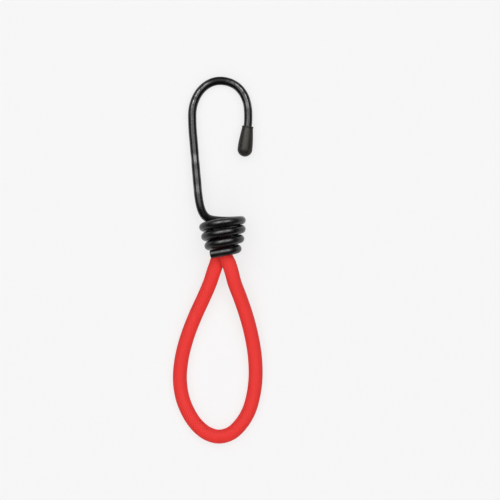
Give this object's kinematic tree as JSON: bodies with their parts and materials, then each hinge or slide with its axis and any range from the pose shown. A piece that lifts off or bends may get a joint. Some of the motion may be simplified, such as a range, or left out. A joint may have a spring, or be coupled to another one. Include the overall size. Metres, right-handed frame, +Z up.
{
  "type": "bungee cord",
  "caption": "Short elastic cord loop with both ends gripped in the wound coil of a plastic-coated wire hook with a capped tip.",
  "frame": {"origin": "on the table, under the middle of the hook and its coil, which leaves the elastic cord out", "axes": "+Y from the loop towards the hook's arch, +X to the side of the hook's tip, +Z up from the table"},
  "size_m": [0.0367, 0.15, 0.0184],
  "materials": {
    "steel": "bright drawn wire, seen only at the cut end of the coil",
    "coating": "black dipped plastic, half gloss",
    "cap": "soft moulded vinyl, matt",
    "clip": "steel strip with a black oxide finish",
    "sheath": "fine smooth braid, bright red",
    "rubber": "natural latex thread"
  },
  "bodies": {
    "hook": {"hook_wire": "steel", "wire_coating": "coating", "tip_cap": "cap", "end_clip": "clip", "sheath_right_leg": "sheath", "sheath_left_leg": "sheath", "rubber_strand_1_right_leg": "rubber", "rubber_strand_1_left_leg": "rubber", "rubber_strand_2_right_leg": "rubber", "rubber_strand_2_left_leg": "rubber", "rubber_strand_3_right_leg": "rubber", "rubber_strand_3_left_leg": "rubber", "rubber_strand_4_right_leg": "rubber", "rubber_strand_4_left_leg": "rubber", "rubber_strand_5_right_leg": "rubber", "rubber_strand_5_left_leg": "rubber", "rubber_strand_6_right_leg": "rubber", "rubber_strand_6_left_leg": "rubber", "rubber_strand_7_right_leg": "rubber", "rubber_strand_7_left_leg": "rubber"},
    "loop_end": {"sheath_loop": "sheath", "rubber_strand_1_loop": "rubber", "rubber_strand_2_loop": "rubber", "rubber_strand_3_loop": "rubber", "rubber_strand_4_loop": "rubber", "rubber_strand_5_loop": "rubber", "rubber_strand_6_loop": "rubber", "rubber_strand_7_loop": "rubber"}
  },
  "joints": [
    {"name": "cord_stretch", "type": "slide", "parent": "hook", "child": "loop_end", "axis": [0, -1, 0], "range_m": [0, 0.06], "stiffness_N_per_m": 2000, "deforming": ["sheath_right_leg", "sheath_left_leg", "rubber_strand_1_right_leg", "rubber_strand_1_left_leg", "rubber_strand_2_right_leg", "rubber_strand_2_left_leg", "rubber_strand_3_right_leg", "rubber_strand_3_left_leg", "rubber_strand_4_right_leg", "rubber_strand_4_left_leg", "rubber_strand_5_right_leg", "rubber_strand_5_left_leg", "rubber_strand_6_right_leg", "rubber_strand_6_left_leg", "rubber_strand_7_right_leg", "rubber_strand_7_left_leg"]}
  ]
}
